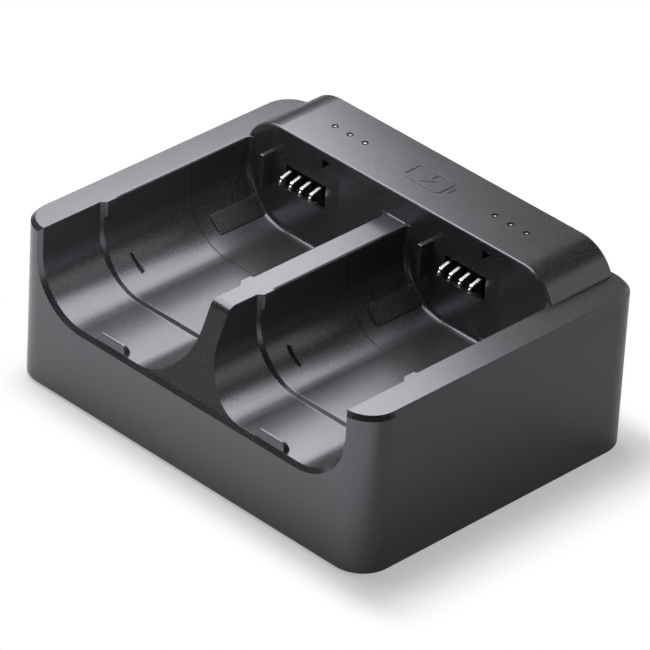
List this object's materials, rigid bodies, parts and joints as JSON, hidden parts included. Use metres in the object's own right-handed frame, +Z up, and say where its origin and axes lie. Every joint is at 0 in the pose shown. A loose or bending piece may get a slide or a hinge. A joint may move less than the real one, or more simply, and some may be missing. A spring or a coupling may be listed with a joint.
{
  "type": "camera battery charger",
  "caption": "Desktop camera battery charger: low rounded housing with open-fronted bays side by side, sprung contacts in the rear walls and a raised bar with indicator lights.",
  "frame": {"origin": "centre of the footprint, on the plane of the feet", "axes": "+X across the bays to the right, +Y from the open front to the bar at the back, +Z up"},
  "size_m": [0.104, 0.0796, 0.0443],
  "materials": {
    "housing": "satin, fine moulded texture",
    "base": "matt, moulded",
    "foot": "matt",
    "screw": "blackened",
    "contact": "bright plated",
    "insulator": "matt",
    "circuit_board": "solder mask",
    "component": "moulded",
    "capacitor_can": "drawn can",
    "inlet_metal": "plated",
    "light_guide": "milky, moulded",
    "led": "moulded"
  },
  "bodies": {
    "root": {"upper_housing": "housing", "base_plate": "base", "base_screws": "screw", "main_board": "circuit_board", "board_screws": "screw", "contact_board": "circuit_board", "contact_board_screws": "screw", "board_socket": "insulator", "indicator_board": "circuit_board", "indicator_screws": "screw", "indicator_header": "insulator", "filter_capacitors": "capacitor_can", "inlet_shell": "inlet_metal", "inlet_tongue": "insulator", "foot_front_left": "foot", "foot_front_right": "foot", "foot_rear_left": "foot", "foot_rear_right": "foot", "charge_chip_left": "component", "coil_left": "component", "contact_block_left": "insulator", "light_guide_left": "light_guide", "contact_left_1": "contact", "contact_left_2": "contact", "contact_left_3": "contact", "contact_left_4": "contact", "led_left_1": "led", "led_left_2": "led", "led_left_3": "led", "charge_chip_right": "component", "coil_right": "component", "contact_block_right": "insulator", "light_guide_right": "light_guide", "contact_right_1": "contact", "contact_right_2": "contact", "contact_right_3": "contact", "contact_right_4": "contact", "led_right_1": "led", "led_right_2": "led", "led_right_3": "led"}
  },
  "joints": []
}
